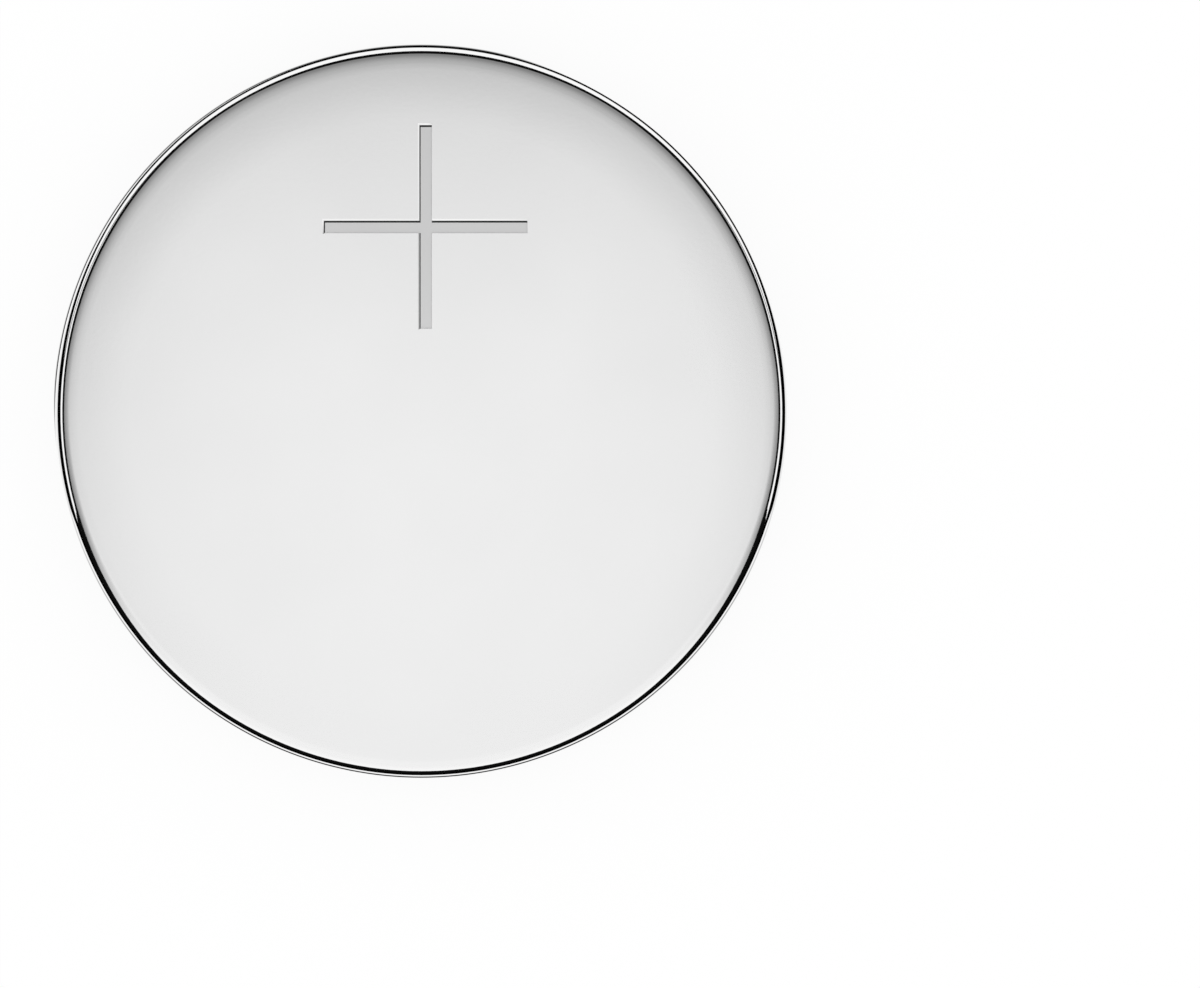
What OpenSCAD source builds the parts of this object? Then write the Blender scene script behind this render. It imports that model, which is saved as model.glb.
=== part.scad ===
// Lithium coin cell, 20 mm across and 2.5 mm high, lying on its negative cap.
// The origin is the middle of the negative contact face. +Z points up through the
// positive face, and +Y points from the middle of the cell to its plus mark.
// The can, the cap and the seal are drawn as half sections and turned about the axis.

/* [Cell] */
// Outer diameter of the cell
cell_d = 20; // [19:0.1:23]
// Height over both contact faces
cell_h = 2.5; // [2.4:0.05:3.2]

/* [Positive can] */
// Sheet thickness of the can
can_t = 0.25; // [0.2:0.01:0.3]
// Outer radius of the bend between the can's face and its wall
can_bend_r = 0.5; // [0.35:0.05:0.8]
// Outer radius of the curl that closes the wall over the seal
curl_r = 0.6; // [0.55:0.05:0.75]
// Length of the flat lip past the end of the curl
lip_l = 0.12; // [0.05:0.01:0.3]
// Distance from the negative contact face up to the lip
lip_setback = 0.25; // [0.2:0.01:0.4]

/* [Plus mark] */
// Length of each bar of the mark
mark_l = 5.55; // [3:0.05:7]
// Width of each bar
mark_w = 0.34; // [0.2:0.01:0.6]
// Depth that the mark is coined into the can's face
mark_depth = 0.05; // [0.02:0.01:0.1]
// Distance of the mark's middle from the cell's axis, to the side
mark_x = 0.12; // [-1:0.01:1]
// Distance of the mark's middle from the cell's axis, towards the edge
mark_y = 5.05; // [0:0.05:5.5]

/* [Seal] */
// Thickness of the seal's wall and floor
seal_t = 0.3; // [0.25:0.01:0.35]
// Thickness left where the lip squeezes the seal on to the cap's shoulder
nip_t = 0.2; // [0.15:0.01:0.3]
// Width of the ring of seal that shows between the lip and the cap
ring_w = 0.32; // [0.3:0.01:0.5]
// Depth of that ring below the lip
ring_depth = 0.06; // [0:0.01:0.15]
// Thickness of the inner lip that holds the cap's skirt
seal_lip_t = 0.25; // [0.2:0.01:0.4]
// Height of the inner lip over the seal's floor
seal_lip_h = 0.35; // [0.2:0.05:0.6]

/* [Negative cap] */
// Sheet thickness of the cap
cap_t = 0.2; // [0.15:0.01:0.25]
// Outer radius of the bend between the cap's face and its side
cap_bend_r = 0.5; // [0.3:0.01:0.55]
// Width of the ledge that shows between the cap's side and the seal
ledge_w = 0.12; // [0.05:0.01:0.2]
// Depth of the ledge below the can's lip
ledge_depth = 0.1; // [0.08:0.01:0.16]
// Radius of the ledge's outer edge
ledge_edge_r = 0.05; // [0.02:0.01:0.08]
// Inner radius of the two bends of the cap's shoulder, which is hidden in the seal
fold_r = 0.1; // [0.05:0.01:0.13]

/* [Electrodes] */
// Distance from the flat of the cap's inside in to the edge of the lithium disc
anode_gap = 0.34; // [0.1:0.01:1]
// Thickness of the lithium disc
anode_t = 0.5; // [0.3:0.05:0.6]
// Thickness of the separator felt
separator_t = 0.15; // [0.05:0.01:0.2]
// Height of the separator's rim round the cathode pellet
rim_h = 0.6; // [0.3:0.05:0.9]
// Inner radius of the bend between the separator's floor and its rim
rim_bend_r = 0.2; // [0.1:0.05:0.25]
// Clearance between the separator's rim and the cathode pellet
rim_gap = 0.1; // [0.05:0.01:0.2]
// How far the lithium disc reaches past the cathode pellet all round
anode_overlap = 0.1; // [0:0.01:0.5]
// Bevel that the press leaves on both edges of the pellet
cathode_bevel = 0.2; // [0.1:0.05:0.3]

/* [Collector] */
// Distance from the pellet's edge in to the edge of the expanded metal disc
collector_inset = 0.5; // [0.2:0.05:1.5]
// Thickness of the expanded metal
collector_t = 0.1; // [0.05:0.01:0.15]
// Distance between the openings along a row of the mesh
mesh_l = 2.4; // [2:0.1:4]
// Distance between openings that lie over each other, two rows apart
mesh_w = 1.5; // [1.2:0.1:3]
// Width of the strands between the openings
strand_w = 0.3; // [0.15:0.05:0.4]
// Width of the whole ring left round the openings
collector_rim_w = 0.5; // [0.3:0.1:1]

/* [Hidden] */
$fn = 96;
// How far cuts and fillets run past the faces that they meet
overlap = 0.01;
cell_r = cell_d / 2;
// Inside of the can's wall, and the edge of the hole that the lip leaves
room_r = cell_r - can_t;
mouth_r = cell_r - curl_r - lip_l;
// Inner faces of the lip and of the can's face
lip_z = lip_setback + can_t;
can_floor_z = cell_h - can_t;
// The cap's outside: its side, its ledge against the ring of seal, its skirt in the seal
ledge_r = mouth_r - ring_w;
cap_r = ledge_r - ledge_w;
skirt_r = room_r - seal_t;
ledge_z = lip_setback + ledge_depth;
// Outer face of the cap's shoulder, and the end of its skirt on the seal's floor
shoulder_z = lip_z + nip_t;
skirt_end_z = can_floor_z - seal_t;
// Inside of the seal's floor and inner lip
seal_in_r = skirt_r - cap_t - seal_lip_t;
// The stack fills the height from the cap's face to the can's: lithium, felt, pellet, mesh
separator_z = cap_t + anode_t;
cathode_z = separator_z + separator_t;
collector_z = can_floor_z - collector_t;
// The pellet is cut to the lithium, the lithium to the flat inside of the cap
anode_r = cap_r - cap_bend_r - anode_gap;
cathode_r = anode_r - anode_overlap;
rim_in_r = cathode_r + rim_gap;
collector_r = cathode_r - collector_inset;

// What rounding to radius r takes off a square corner, and what a fillet fills
module corner(r) {
    difference() {
        square(r + overlap);
        circle(r = r);
    }
}

// Half section of a round blank of radius r from z0 up to z1, with rounded outer corners
module blank(r, z0, z1, low_r, high_r = 0) {
    difference() {
        translate([0, z0])
            square([r, z1 - z0]);
        if (low_r > 0)
            translate([r - low_r, z0 + low_r])
                rotate(-90)
                    corner(low_r);
        if (high_r > 0)
            translate([r - high_r, z1 - high_r])
                corner(high_r);
    }
}

// Half section of the room inside the can, with its mouth open from mouth_z up
module can_room(mouth_z) {
    blank(room_r, lip_z, can_floor_z, curl_r - can_t, can_bend_r - can_t);
    translate([0, mouth_z])
        square([mouth_r, lip_z + nip_t - mouth_z]);
}

// Half section of the hat that the cap is drawn to, filled up to top_z and set in
// from the cap's outside by inset
module hat(inset, top_z) {
    neck_r = fold_r + inset;
    blank(cap_r - inset, inset, top_z, cap_bend_r - inset);
    blank(ledge_r - inset, ledge_z + inset, top_z, max(ledge_edge_r - inset, 0));
    blank(skirt_r - inset, shoulder_z + inset, top_z, fold_r + cap_t - inset);
    translate([ledge_r - inset + neck_r, shoulder_z + inset - neck_r])
        rotate(90)
            corner(neck_r);
}

// The plus sign, drawn in the plane of the can's face
module plus_sign() {
    square([mark_l, mark_w], center = true);
    square([mark_w, mark_l], center = true);
}

// Stainless cup that is the positive pole, with its wall curled in over the seal
module positive_can() {
    color("gainsboro")
        difference() {
            rotate_extrude()
                difference() {
                    blank(cell_r, lip_setback, cell_h, curl_r, can_bend_r);
                    can_room(0);
                }
            translate([mark_x, mark_y, cell_h - mark_depth])
                linear_extrude(can_t)
                    plus_sign();
        }
}

// Moulded ring that fills the gap between can and cap, with a groove for the skirt
module sealing_gasket() {
    color("#3a3b3e")
        rotate_extrude() {
            difference() {
                can_room(lip_setback + ring_depth);
                hat(0, skirt_end_z);
                square([ledge_r, shoulder_z]);
                translate([0, skirt_end_z])
                    square([seal_in_r, cell_h]);
            }
            translate([seal_in_r, skirt_end_z - seal_lip_h])
                square([seal_lip_t, seal_lip_h]);
        }
}

// Stainless cap that is the negative pole, with a shoulder and skirt held in the seal
module negative_cap() {
    color("lightgray")
        rotate_extrude()
            difference() {
                hat(0, skirt_end_z);
                hat(cap_t, cell_h);
            }
}

// Lithium disc pressed on to the inside of the cap
module lithium_anode() {
    color("slategray")
        translate([0, 0, cap_t])
            cylinder(r = anode_r, h = anode_t);
}

// Felt dish that keeps the pellet from the lithium, its rim turned up round the pellet
module separator() {
    color("white")
        translate([0, 0, separator_z])
            rotate_extrude()
                difference() {
                    blank(rim_in_r + separator_t, 0, rim_h, rim_bend_r + separator_t);
                    blank(rim_in_r, separator_t, cell_h, rim_bend_r);
                }
}

// Pressed manganese dioxide pellet between the separator and the collector
module cathode_pellet() {
    cathode_h = collector_z - cathode_z;
    color("#2b2b2d")
        translate([0, 0, cathode_z]) {
            cylinder(r1 = cathode_r - cathode_bevel, r2 = cathode_r, h = cathode_bevel);
            translate([0, 0, cathode_bevel])
                cylinder(r = cathode_r, h = cathode_h - 2 * cathode_bevel);
            translate([0, 0, cathode_h - cathode_bevel])
                cylinder(r1 = cathode_r, r2 = cathode_r - cathode_bevel, h = cathode_bevel);
        }
}

// One opening of the expanded metal
module mesh_opening() {
    half_l = (mesh_l - strand_w) / 2;
    half_w = (mesh_w - strand_w) / 2;
    polygon([[-half_l, 0], [0, -half_w], [half_l, 0], [0, half_w]]);
}

// Expanded metal disc that carries the current from the pellet to the can
module cathode_collector() {
    open_r = collector_r - collector_rim_w - mesh_l / 2;
    rows = ceil(2 * open_r / mesh_w);
    columns = ceil(open_r / mesh_l);
    color("darkgray")
        translate([0, 0, collector_z])
            linear_extrude(collector_t)
                difference() {
                    circle(r = collector_r);
                    for (row = [-rows : rows], column = [-columns - 1 : columns]) {
                        x = (column + (row % 2 == 0 ? 0 : 0.5)) * mesh_l;
                        y = row * mesh_w / 2;
                        if (norm([x, y]) < open_r)
                            translate([x, y])
                                mesh_opening();
                    }
                }
}

positive_can();
sealing_gasket();
negative_cap();
lithium_anode();
separator();
cathode_pellet();
cathode_collector();
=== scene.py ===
import math

import bmesh
import bpy
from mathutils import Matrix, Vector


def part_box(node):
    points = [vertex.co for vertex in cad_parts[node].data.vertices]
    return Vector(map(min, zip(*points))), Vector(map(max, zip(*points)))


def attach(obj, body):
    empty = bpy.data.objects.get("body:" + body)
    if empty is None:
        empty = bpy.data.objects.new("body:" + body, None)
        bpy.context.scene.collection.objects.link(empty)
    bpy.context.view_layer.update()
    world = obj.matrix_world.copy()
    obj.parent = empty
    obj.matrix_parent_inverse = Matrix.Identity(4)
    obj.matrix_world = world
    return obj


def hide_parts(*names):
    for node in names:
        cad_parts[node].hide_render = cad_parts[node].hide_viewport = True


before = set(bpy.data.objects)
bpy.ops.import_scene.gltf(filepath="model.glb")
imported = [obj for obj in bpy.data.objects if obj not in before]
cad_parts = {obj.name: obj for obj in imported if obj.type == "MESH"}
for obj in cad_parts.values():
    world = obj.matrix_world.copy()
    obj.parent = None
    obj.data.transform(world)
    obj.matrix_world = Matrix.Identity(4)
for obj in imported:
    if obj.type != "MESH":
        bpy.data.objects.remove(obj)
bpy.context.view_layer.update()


# Positive can
# A cup drawn from nickel-plated stainless sheet: a satin face, bright bends, and a wall curled in
# over the seal once the cell is filled. The plus mark is coined into the face.
MM = 0.001
TURN_FACETS = 256
BEND_FACETS = 14
SHARP_ANGLE = math.radians(30)
LEVEL_NORMAL = 0.999999
SAME_SPOT = 0.0005
can_low, can_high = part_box("positive_can")
cell_r = can_high.x / MM
cell_h = can_high.z / MM
lip_z = can_low.z / MM
can_t = 0.25
can_bend_r = 0.5
curl_r = 0.6
lip_l = 0.12
flat_r = 8
flat_margin = 0.05
level_gap = 0.001
crown_curve_r = 36
crown_facets = 10
mark_l = 5.55
mark_w = 0.34
mark_depth = 0.05
mark_x = 0.12
mark_y = 5.05
upper_draft = 0.076
left_draft = 0.044
mark_edge_w = 0.026
upper_lip = 0.022
left_lip = 0.01
laid_back_rise = 0.1
polish_start_r = 9.64
polish_end_r = 9.8
can_roughness = 0.22
polished_roughness = 0.03
steel_colour = (0.895, 0.895, 0.895, 1)
bright_colour = (0.95, 0.95, 0.95, 1)
mark_colour = (0.81, 0.81, 0.81, 1)
# Painted shade: the walls of the plus mark are painted nearly black
mark_wall_shade_colour = (0.05, 0.05, 0.05, 1)


def turned(corners, is_ring=False):
    """A closed shell turned about the cell's axis, in millimetres. Each corner of its half section is
    its radius, its height and how much of the edges beside it its rounding takes."""
    shell = bmesh.new()
    points = [shell.verts.new((radius, 0, height)) for radius, height, _ in corners]
    ends = points[1:] + points[:1] if is_ring else points[1:]
    for point, end in zip(points, ends):
        shell.edges.new((point, end))
    for point, corner in zip(points, corners):
        if corner[2]:
            bmesh.ops.bevel(shell, geom=[point], offset=corner[2], affect="VERTICES",
                            segments=BEND_FACETS, profile=0.5, material=-1)
    bmesh.ops.spin(shell, geom=shell.verts[:] + shell.edges[:], cent=(0, 0, 0), axis=(0, 0, 1),
                   angle=math.tau, steps=TURN_FACETS, use_merge=True)
    bmesh.ops.remove_doubles(shell, verts=shell.verts, dist=SAME_SPOT)
    bmesh.ops.recalc_face_normals(shell, faces=shell.faces)
    return shell


def finished(shell, name, *coats):
    """The object of a shell drawn in millimetres, smooth apart from level faces and sharp edges."""
    bmesh.ops.scale(shell, vec=(MM, MM, MM), verts=shell.verts)
    shell.normal_update()
    for face in shell.faces:
        face.smooth = abs(face.normal.z) < LEVEL_NORMAL
    for edge in shell.edges:
        edge.smooth = edge.calc_face_angle(0) < SHARP_ANGLE
    mesh = bpy.data.meshes.new(name)
    shell.to_mesh(mesh)
    shell.free()
    for coat in coats:
        mesh.materials.append(coat.material)
    piece = bpy.data.objects.new(name, mesh)
    bpy.context.scene.collection.objects.link(piece)
    return piece


class Signal:
    """An output of a finish's nodes, which takes part in sums as a number does."""

    def __init__(self, finish, source, name):
        self.finish = finish
        self.source = source
        self.name = name

    @property
    def socket(self):
        return self.source.outputs[self.name]

    def output(self, name):
        return Signal(self.finish, self.source, name)

    def math(self, operation, *terms):
        return self.finish.node("Math", {"operation": operation}, dict(enumerate(terms)))

    def __add__(self, other):
        return self.math("ADD", self, other)

    def __radd__(self, other):
        return self.math("ADD", other, self)

    def __sub__(self, other):
        return self.math("SUBTRACT", self, other)

    def __rsub__(self, other):
        return self.math("SUBTRACT", other, self)

    def __mul__(self, other):
        return self.math("MULTIPLY", self, other)

    def __rmul__(self, other):
        return self.math("MULTIPLY", other, self)

    def __truediv__(self, other):
        return self.math("DIVIDE", self, other)

    def __rtruediv__(self, other):
        return self.math("DIVIDE", other, self)


class Finish:
    """A material built up from nodes. Its sockets take numbers, colours and signals."""

    def __init__(self, name):
        self.material = bpy.data.materials.new(name)
        self.material.use_nodes = True
        self.tree = self.material.node_tree
        self.tree.nodes.clear()

    def node(self, kind, settings=None, sockets=None, output=0):
        node = self.tree.nodes.new("ShaderNode" + kind)
        for name, value in (settings or {}).items():
            if name == "stops":
                self.set_stops(node.color_ramp, value)
            else:
                setattr(node, name, value)
        for name, value in (sockets or {}).items():
            if isinstance(value, Signal):
                self.tree.links.new(value.socket, node.inputs[name])
            else:
                node.inputs[name].default_value = value
        return Signal(self, node, output)

    def set_stops(self, ramp, stops):
        while len(ramp.elements) < len(stops):
            ramp.elements.new(1)
        for element, (position, shade) in zip(ramp.elements, stops):
            element.position = position
            element.color = (shade, shade, shade, 1)

    def place(self, stretch=(1, 1, 1)):
        """The place on the piece in millimetres, stretched along the axes."""
        spot = self.node("TexCoord", output="Object")
        return self.node("VectorMath", {"operation": "MULTIPLY"},
                         {0: spot, 1: [1 / MM * axis for axis in stretch]})

    def noise(self, place, scale, detail=2):
        return self.node("TexNoise", {"noise_dimensions": "3D"},
                         {"Vector": place, "Scale": scale, "Detail": detail})

    def step(self, value, low, high):
        """A smooth change from 0 to 1 as the value goes from low to high, or down to high."""
        return self.node("MapRange", {"interpolation_type": "SMOOTHSTEP"},
                         {"Value": value, "From Min": low, "From Max": high})

    def follow(self, value, start, end, *stops):
        """A number that follows the stops, pairs of a value between start and end and a number."""
        places = [((place - start) / (end - start), number) for place, number in stops]
        return self.node("ValToRGB", {"stops": places}, {"Fac": (value - start) / (end - start)})

    def mix(self, share, first, second):
        """A blend of two colours."""
        return self.node("Mix", {"data_type": "RGBA"}, {0: share, 6: first, 7: second}, output=2)

    def bump(self, height, distance, strength=1):
        return self.node("Bump", None, {"Height": height, "Distance": distance, "Strength": strength})

    def glow(self, colour):
        """Light of a colour, from a surface that mirrors nothing."""
        return self.node("BsdfPrincipled", None, {
            "Base Color": (0, 0, 0, 1), "Roughness": 1, "Specular IOR Level": 0,
            "Emission Color": colour, "Emission Strength": 1})

    def coat(self, sockets):
        """Ends the finish with the shader of a solid surface."""
        shader = self.node("BsdfPrincipled", None, sockets)
        self.node("OutputMaterial", None, {"Surface": shader})
        return self


def steel(name, colour, roughness, bend_roughness, bend_start=polish_start_r, bend_end=polish_end_r,
          bend_low=-1):
    """Satin sheet with a fine grain, which the die drew out along the wall and polished at the bends.
    The polish comes in between two radii, above bend_low."""
    finish = Finish(name)
    place = finish.place()
    radius = finish.node("VectorMath", {"operation": "LENGTH"},
                         {0: finish.place((1, 1, 0))}, output="Value")
    height = finish.node("SeparateXYZ", None, {0: place}, output="Z")
    bend = finish.step(radius, bend_start, bend_end) * finish.step(height, bend_low, bend_low + 0.1)
    grain = finish.noise(finish.place((1, 1, 0.08)), 9)
    cloud = finish.noise(place, 0.35, 1)
    darker = [0.96 * part for part in colour[:3]] + [1]
    satin = finish.mix(0.35 * grain + 0.5 * cloud, colour, darker)
    rough = roughness + (bend_roughness - roughness) * bend + 0.03 * (cloud - 0.5)
    return finish.coat({"Base Color": finish.mix(bend, satin, bright_colour), "Metallic": 1,
                        "Roughness": rough, "Normal": finish.bump(grain, 0.000002, 0.3)})


can_steel = steel("can_steel", steel_colour, can_roughness, polished_roughness,
                  bend_low=cell_h - can_bend_r - 0.05)
mark_steel = steel("mark_steel", mark_colour, 0.4, 0.4)
mark_wall_shade_steel = steel("mark_wall_shade_steel", mark_wall_shade_colour, 0.5, 0.5)
edge_steel = steel("edge_steel", bright_colour, 0.05, 0.05)
can_coats = [can_steel, mark_steel, mark_wall_shade_steel, edge_steel]

mouth_r = cell_r - curl_r - lip_l
can_floor_z = cell_h - can_t
crown_w = cell_r - can_bend_r - flat_r
crown_slope = crown_w / crown_curve_r
rim_z = cell_h - crown_w * crown_slope / 2 - can_bend_r * crown_slope
crown = []
for step in range(crown_facets + 1):
    out = crown_w * step / crown_facets
    crown.append((flat_r + out, cell_h - out ** 2 / (2 * crown_curve_r), 0))
can_shell = turned([
    (0, cell_h, 0),
    (flat_r - 2 * flat_margin, cell_h, 0),
    *crown,
    (cell_r, rim_z, can_bend_r),
    (cell_r, lip_z, curl_r),
    (mouth_r, lip_z, 0),
    (mouth_r, lip_z + can_t, 0),
    (cell_r - can_t, lip_z + can_t, curl_r - can_t),
    (cell_r - can_t, can_floor_z, can_bend_r - can_t),
    (0, can_floor_z, 0),
])


def on_top(vert):
    """Whether a corner lies in the plane of the can's face."""
    return vert.co.z > cell_h - level_gap


def flat_faces(shell):
    """The faces in the flat of the can's face."""
    return [face for face in shell.faces
            if all(on_top(vert) and vert.co.xy.length < flat_r - flat_margin for vert in face.verts)]


def coin_mark(shell):
    """Sinks the plus mark into the flat of the face. Its walls are painted nearly black as shade; the
    upper and left ones are laid back, and the punch has left a bright edge along them."""
    bmesh.ops.dissolve_faces(shell, faces=flat_faces(shell), use_verts=False)
    for across, along, low_lip, high_lip in ((1, 0, left_lip, 0), (0, 1, 0, upper_lip)):
        for offset in (-mark_l / 2 - low_lip, -mark_w / 2 - low_lip,
                       mark_w / 2 + high_lip, mark_l / 2 + high_lip):
            flat = flat_faces(shell)
            edges = {edge for face in flat for edge in face.edges}
            verts = {vert for face in flat for vert in face.verts}
            bmesh.ops.bisect_plane(shell, geom=flat + list(edges) + list(verts), dist=0.0001,
                                   plane_co=(mark_x + across * offset, mark_y + along * offset, 0),
                                   plane_no=(across, along, 0))
    sunk = []
    for face in flat_faces(shell):
        middle = face.calc_center_median()
        away = sorted((abs(middle.x - mark_x), abs(middle.y - mark_y)))
        if away[0] < mark_w / 2 and away[1] < mark_l / 2:
            sunk.append(face)
    raised = bmesh.ops.extrude_face_region(shell, geom=sunk)["geom"]
    bmesh.ops.delete(shell, geom=sunk, context="FACES")
    verts = [part for part in raised if isinstance(part, bmesh.types.BMVert)]
    bmesh.ops.translate(shell, verts=verts, vec=(0, 0, -mark_depth))
    upper = [vert for vert in verts if vert.co.y > mark_y]
    left = [vert for vert in verts if vert.co.x < mark_x]
    bmesh.ops.translate(shell, verts=upper, vec=(0, -upper_draft, 0))
    bmesh.ops.translate(shell, verts=left, vec=(left_draft, 0, 0))
    shell.normal_update()
    walls = {face for vert in verts for face in vert.link_faces} - set(raised)
    # The walls get the nearly black steel, painted shade in the mark's recess
    for face in walls:
        face.material_index = can_coats.index(mark_wall_shade_steel)
    for part in raised:
        if isinstance(part, bmesh.types.BMFace):
            part.material_index = can_coats.index(mark_steel)
    laid_back = [face for face in walls if face.normal.z > laid_back_rise]
    edges = [edge for face in laid_back for edge in face.edges if all(on_top(vert) for vert in edge.verts)]
    bmesh.ops.bevel(shell, geom=edges, offset=mark_edge_w, affect="EDGES", segments=3, profile=0.5,
                    material=can_coats.index(edge_steel))


coin_mark(can_shell)
can = finished(can_shell, "crimped_can", *can_coats)
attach(can, "root")
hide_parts("positive_can")


# Seal
# A ring moulded in dark polypropylene, which keeps the two poles apart. The can's curl squeezes it
# on to the cap's shoulder, and the cap's skirt stands in its groove.
seal_low, seal_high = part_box("sealing_gasket")
cap_low, cap_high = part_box("negative_cap")
room_r = seal_high.x / MM
skirt_r = cap_high.x / MM
skirt_end_z = cap_high.z / MM
ring_z = seal_low.z / MM
ring_w = 0.32
cap_t = 0.2
nip_t = 0.2
fold_r = 0.1
seal_lip_t = 0.25
seal_lip_h = 0.35
bead_r = 0.06
seal_colour = (0.022, 0.022, 0.024, 1)
ledge_r = mouth_r - ring_w
shoulder_z = lip_z + can_t + nip_t
seal_in_r = skirt_r - cap_t - seal_lip_t

seal_plastic = Finish("seal_plastic")
flow = seal_plastic.noise(seal_plastic.place((1, 1, 3)), 2.5, 3)
pores = seal_plastic.noise(seal_plastic.place(), 14)
seal_plastic.coat({
    "Base Color": seal_plastic.mix(flow, seal_colour, (0.04, 0.04, 0.043, 1)),
    "Roughness": 0.42 + 0.15 * pores,
    "Specular IOR Level": 0.3,
    "Normal": seal_plastic.bump(pores, 0.000004, 0.5),
})

seal = finished(turned([
    (mouth_r, ring_z, bead_r),
    (mouth_r, lip_z + can_t, 0),
    (room_r, lip_z + can_t, curl_r - can_t),
    (room_r, can_floor_z, can_bend_r - can_t),
    (seal_in_r, can_floor_z, 0),
    (seal_in_r, skirt_end_z - seal_lip_h, 0),
    (skirt_r - cap_t, skirt_end_z - seal_lip_h, 0),
    (skirt_r - cap_t, skirt_end_z, 0),
    (skirt_r, skirt_end_z, 0),
    (skirt_r, shoulder_z, fold_r + cap_t),
    (ledge_r, shoulder_z, fold_r),
    (ledge_r, ring_z, bead_r),
], is_ring=True), "seal_ring", seal_plastic)
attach(seal, "root")
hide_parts("sealing_gasket")


# Negative cap
# A shallow hat drawn from bright stainless sheet, with a ledge, a shoulder and a skirt that the seal
# holds. Its flat face is the negative pole, and the cell lies on it.
cap_bend_r = 0.5
ledge_w = 0.12
ledge_depth = 0.1
ledge_edge_r = 0.05
cap_colour = (0.86, 0.86, 0.86, 1)
cap_r = ledge_r - ledge_w
ledge_z = lip_z + ledge_depth
bend_turn = math.acos(1 - ledge_z / cap_bend_r)
bend_corner = cap_bend_r * math.tan(bend_turn / 2)
cap_flat_r = cap_r - cap_bend_r
inner_bend_r = cap_bend_r - cap_t

cap_steel = steel("cap_steel", cap_colour, 0.16, 0.08, cap_flat_r, cap_r)

cap = finished(turned([
    (0, 0, 0),
    (cap_flat_r + bend_corner, 0, bend_corner),
    (cap_flat_r + cap_bend_r * math.sin(bend_turn), ledge_z, 0),
    (ledge_r, ledge_z, ledge_edge_r),
    (ledge_r, shoulder_z, fold_r),
    (skirt_r, shoulder_z, fold_r + cap_t),
    (skirt_r, skirt_end_z, 0),
    (skirt_r - cap_t, skirt_end_z, 0),
    (skirt_r - cap_t, shoulder_z + cap_t, fold_r),
    (ledge_r - cap_t, shoulder_z + cap_t, fold_r + cap_t),
    (ledge_r - cap_t, ledge_z + cap_t, 0),
    (cap_r - cap_t, ledge_z + cap_t, 0),
    (cap_r - cap_t, cap_t, inner_bend_r),
    (0, cap_t, 0),
]), "drawn_cap", cap_steel)
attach(cap, "root")
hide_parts("negative_cap")


# Lithium anode
# A disc cut from rolled lithium foil and pressed on to the inside of the cap. The metal is soft and
# dull, with the lines of the roll and a grey bloom.
lithium_colour = (0.64, 0.65, 0.67, 1)
lithium_bloom = (0.46, 0.47, 0.5, 1)


def dressed(node, finish):
    """The solid of a node, with a finish in place of its plain colour."""
    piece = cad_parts[node]
    piece.data.materials.clear()
    piece.data.materials.append(finish.material)
    return piece


lithium_metal = Finish("lithium_metal")
rolled = lithium_metal.noise(lithium_metal.place((0.3, 6, 1)), 1.5, 3)
bloom = lithium_metal.noise(lithium_metal.place(), 0.6, 4)
lithium_metal.coat({
    "Base Color": lithium_metal.mix(lithium_metal.step(bloom, 0.4, 0.7), lithium_colour, lithium_bloom),
    "Metallic": 1,
    "Roughness": 0.42 + 0.2 * bloom,
    "Normal": lithium_metal.bump(rolled, 0.00002, 0.4),
})

lithium = dressed("lithium_anode", lithium_metal)


# Separator
# A dish of white non-woven polypropylene felt, its rim turned up round the pellet. Crossing fibres
# show in its surface.
felt_colour = (0.88, 0.88, 0.86, 1)
felt_shadow = (0.7, 0.7, 0.68, 1)

separator_felt = Finish("separator_felt")
fibres_across = separator_felt.noise(separator_felt.place((9, 0.8, 4)), 1.6, 4)
fibres_along = separator_felt.noise(separator_felt.place((0.8, 9, 4)), 1.6, 4)
fibres = fibres_across.math("MAXIMUM", fibres_across, fibres_along)
separator_felt.coat({
    "Base Color": separator_felt.mix(separator_felt.step(fibres, 0.45, 0.7), felt_shadow, felt_colour),
    "Roughness": 0.9,
    "Normal": separator_felt.bump(fibres, 0.00004, 0.8),
})

separator = dressed("separator", separator_felt)


# Cathode pellet
# Manganese dioxide powder with carbon, pressed into a disc with bevelled edges. It is dull black,
# with grains of the powder showing.
powder_colour = (0.022, 0.022, 0.023, 1)
powder_grain = (0.07, 0.068, 0.066, 1)

pellet_oxide = Finish("pellet_oxide")
grains = pellet_oxide.noise(pellet_oxide.place(), 7, 5)
pellet_oxide.coat({
    "Base Color": pellet_oxide.mix(pellet_oxide.step(grains, 0.5, 0.75), powder_colour, powder_grain),
    "Roughness": 0.72 + 0.2 * grains,
    "Normal": pellet_oxide.bump(grains, 0.00003, 0.7),
})

pellet = dressed("cathode_pellet", pellet_oxide)


# Cathode collector
# A disc of expanded stainless mesh inside a plain rim, welded to the inside of the can. The strands
# are dull where they were slit and stretched.
mesh_colour = (0.6, 0.6, 0.6, 1)
mesh_dark = (0.42, 0.42, 0.43, 1)

mesh_steel = Finish("mesh_steel")
slit = mesh_steel.noise(mesh_steel.place((1, 7, 2)), 2.2, 3)
mesh_steel.coat({
    "Base Color": mesh_steel.mix(slit, mesh_colour, mesh_dark),
    "Metallic": 1,
    "Roughness": 0.34 + 0.2 * slit,
    "Normal": mesh_steel.bump(slit, 0.00001, 0.5),
})

collector = dressed("cathode_collector", mesh_steel)


# Studio floor
# A white sheet that reaches past the horizon of every view and keeps the cell's shadow, deepened by
# shadow painted round its foot. The bright rim mirrors it white near the cell and dark further out,
# and at the back white again past the dark.
floor_r = 3000
rim_h = 2.3
shadow_w = 0.085
shadow_turn = 0.022
soft = 0.02
shadow_way = (-0.6, 0.8, 0)
floor_light = 0.9
white = (1, 1, 1, 1)
black = (0, 0, 0, 1)
# Painted shadow: the nearly black colour of the line round the cell's foot
shadow_colour = (0.03, 0.03, 0.03, 1)

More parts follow.
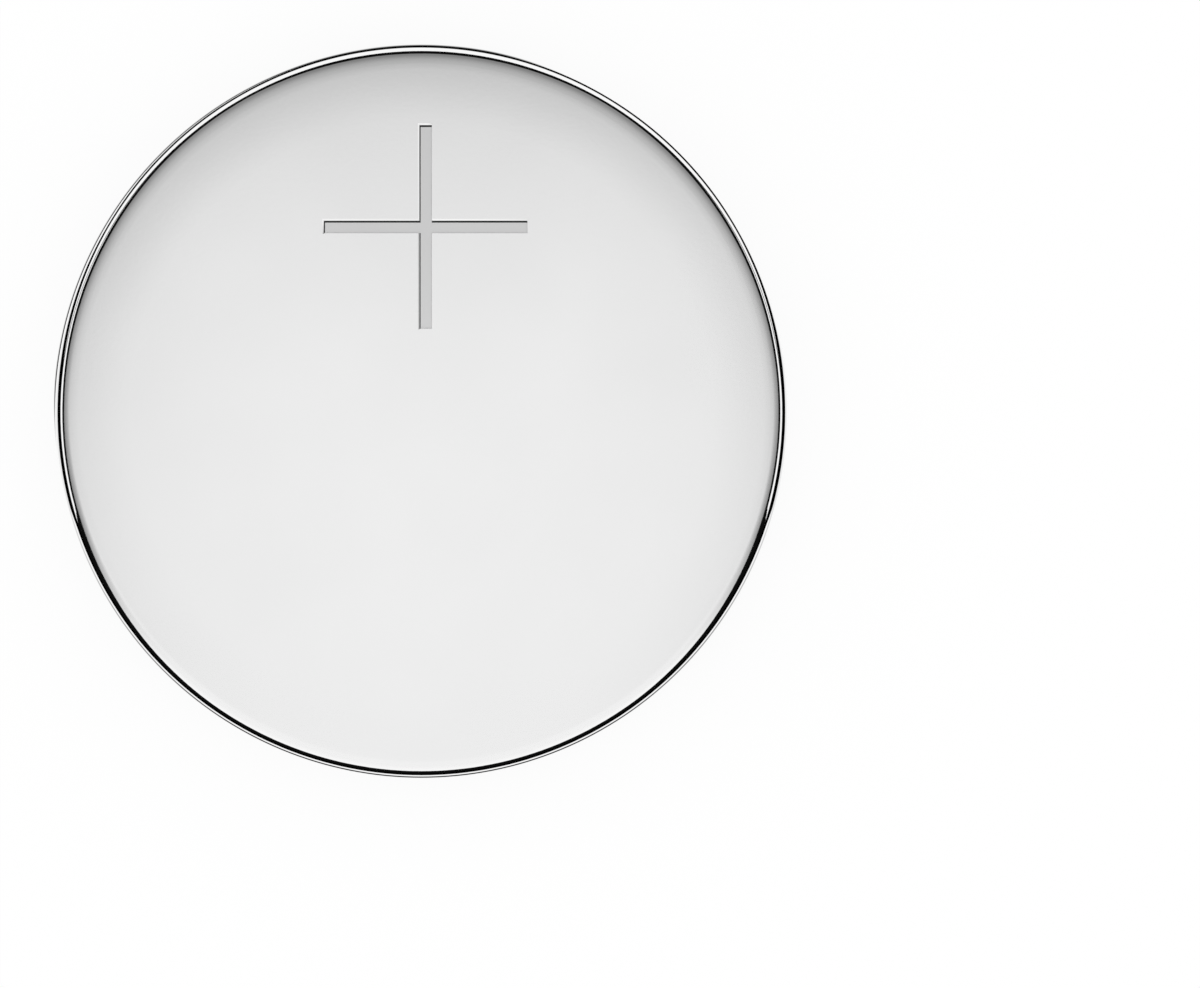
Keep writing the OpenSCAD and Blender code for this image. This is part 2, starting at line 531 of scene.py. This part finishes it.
floor_sheet = Finish("floor_sheet")
spot = floor_sheet.place()
away = floor_sheet.node("VectorMath", {"operation": "LENGTH"}, {0: spot}, output="Value")
along = floor_sheet.node("SeparateXYZ", None, {0: spot})
# From -1 in front of the cell to 1 behind it, and from -1 on its left to 1 on its right
back = along.output("Y") / away
right = along.output("X") / away
# 1 at the foot of the wall, falling towards 0 at the horizon
nearness = rim_h / (rim_h + away - cell_r)
# Dark between the near edge and the far edge, and again at the horizon
near_edge = floor_sheet.follow(back, -1, 1, (-0.31, 0.26), (-0.26, 0.37), (0.05, 0.37), (0.5, 0.52),
                               (0.87, 0.73), (1, 1))
far_edge = floor_sheet.follow(back, -1, 1, (0.05, 0), (0.5, 0.34), (0.87, 0.46), (1, 0.49))
horizon = floor_sheet.follow(back, -1, 1, (0.3, 0), (0.5, 0.05), (0.87, 0.06), (0.97, 0.01))
dark = (floor_sheet.step(near_edge - nearness, -soft, soft)
        * floor_sheet.step(nearness - far_edge, -2 * soft, 0))
dark = dark.math("MAXIMUM", dark, floor_sheet.step(horizon - nearness, -soft, soft))
# A band half way out, dark in front and fading towards the back
tone = floor_sheet.follow(back, -1, 1, (-1, 0.02), (-0.85, 0.05), (-0.5, 0.5), (-0.2, 0.85), (0.6, 1))
line = floor_sheet.step(nearness, 0.38, 0.44) * floor_sheet.step(nearness, 0.62, 0.54)
# Painted shadow right under the cell and round its foot, which the metal sees mirrored
foot = floor_sheet.step(away, cell_r - 0.4, cell_r + 0.2)
mirrored = floor_sheet.mix(foot * (1 - line * (1 - tone)) * (1 - dark), black, white)

from_camera = floor_sheet.node("LightPath", output="Is Camera Ray")
from_metal = from_camera.output("Is Glossy Ray")
toward = floor_sheet.node("VectorMath", {"operation": "DOT_PRODUCT"}, {0: spot, 1: shadow_way},
                          output="Value") / away
shadow_side = floor_sheet.step(toward, 0.3, 0.7)
out = away - cell_r - shadow_side * (shadow_w - shadow_turn * right)
clear = floor_light * floor_sheet.step(out, -soft, soft)
# Painted shadow: a nearly black line in the floor's colour round the cell's foot on the shadow side
shade = floor_sheet.mix(shadow_side * floor_sheet.step(out, 0.03, 0), white, shadow_colour)
matt = floor_sheet.node("BsdfPrincipled", None, {"Base Color": shade, "Roughness": 1,
                                                 "Specular IOR Level": 0})
glow = floor_sheet.glow(floor_sheet.mix(from_metal, white, mirrored))
shared = floor_sheet.node("MixShader", None, {0: from_camera * clear + from_metal, 1: matt, 2: glow})
floor_sheet.node("OutputMaterial", None, {"Surface": shared})

floor_mesh = bmesh.new()
bmesh.ops.create_circle(floor_mesh, cap_ends=True, radius=floor_r, segments=64)
floor = finished(floor_mesh, "floor", floor_sheet)


# Light tent
# A white tent close round the cell, which only reflections see: bright overhead and in front, grey
# at the sides and at the back. A dark gap runs round above the floor, with strip lights at the sides.
tent_r = 50
gap_shade = 0.004
soft_angle = 1
side_stops = [(0, 0.25), (24, 0.26), (30, 0.32), (44, 0.475), (58, 0.545), (71, 0.545), (77, 0.87),
              (82, 1)]
front_y = -0.46
side_y = 0.33

tent_cloth = Finish("tent_cloth")
spot = tent_cloth.place()
way = tent_cloth.node("VectorMath", {"operation": "NORMALIZE"}, {0: spot})
way = tent_cloth.node("SeparateXYZ", None, {0: way})
level = tent_cloth.node("VectorMath", {"operation": "NORMALIZE"}, {0: tent_cloth.place((1, 1, 0))})
back = tent_cloth.node("SeparateXYZ", None, {0: level}, output="Y")
# Degrees up from the floor, as are the tops and bottoms of the gap
rise = 180 / math.pi * way.math("ARCSINE", way.output("Z"))
gap_low = 90 * tent_cloth.follow(back, -1, 1, (-0.31, 0), (-0.26, 14.5 / 90), (0.05, 14.5 / 90),
                                 (0.5, 6 / 90), (0.87, 0))
gap_high = 90 * tent_cloth.follow(back, -1, 1, (-0.8, 16 / 90), (-0.65, 19 / 90), (-0.5, 23 / 90),
                                  (-0.31, 26 / 90), (0.05, 25.5 / 90), (0.5, 21 / 90), (0.87, 14 / 90),
                                  (1, 17 / 90))
# Low down, the grey of the sides comes further round towards the front
wing = tent_cloth.step(back, -0.75, -0.25) * tent_cloth.step(rise, 62, 42)
aside = tent_cloth.step(way.output("Y"), front_y, side_y)
cloth = tent_cloth.mix(aside.math("MAXIMUM", aside, wing), white,
                       tent_cloth.follow(rise, 0, 90, *side_stops))
cloth = tent_cloth.mix(tent_cloth.follow(back, -1, 1, (0.85, 0), (1, 0.1)), cloth, black)
gap = (gap_shade, gap_shade, gap_shade, 1)
over_gap = tent_cloth.mix(tent_cloth.step(rise - gap_high, -soft_angle, soft_angle), gap, cloth)
strip = tent_cloth.mix(tent_cloth.step(rise, 2.5, 5), gap, white)
light = tent_cloth.mix(tent_cloth.step(rise - gap_low, -soft_angle, soft_angle), strip, over_gap)
tent_cloth.node("OutputMaterial", None, {"Surface": tent_cloth.glow(light)})
tent_cloth.material.cycles.emission_sampling = "NONE"

tent_mesh = bmesh.new()
bmesh.ops.create_uvsphere(tent_mesh, u_segments=96, v_segments=48, radius=tent_r)
tent = finished(tent_mesh, "light_tent", tent_cloth)
tent.visible_camera = False
tent.visible_diffuse = False
tent.visible_transmission = False
tent.visible_volume_scatter = False
tent.visible_shadow = False

# White from all round, which lights matt surfaces and isn't mirrored
world = bpy.data.worlds.new("studio")
bpy.context.scene.world = world
world.use_nodes = True
world.node_tree.nodes["Background"].inputs["Color"].default_value = (1, 1, 1, 1)
world.node_tree.nodes["Background"].inputs["Strength"].default_value = 1
world.cycles_visibility.glossy = False
bpy.context.scene.view_settings.view_transform = "Standard"


# Camera
# It looks straight down on the positive face through a long lens, from where the cell lies left of
# the middle of the picture and above it.
picture_w = 1200
picture_scale = 36.65
aim_x = 4.873
aim_y = -2.229
scale_z = 2
camera_h = 400
sensor_w = 36

camera_data = bpy.data.cameras.new("camera")
camera_data.sensor_width = sensor_w
camera_data.lens = sensor_w * (camera_h - scale_z) / (picture_w / picture_scale)
camera = bpy.data.objects.new("camera", camera_data)
camera.location = (aim_x * MM, aim_y * MM, camera_h * MM)
bpy.context.scene.collection.objects.link(camera)
bpy.context.scene.camera = camera
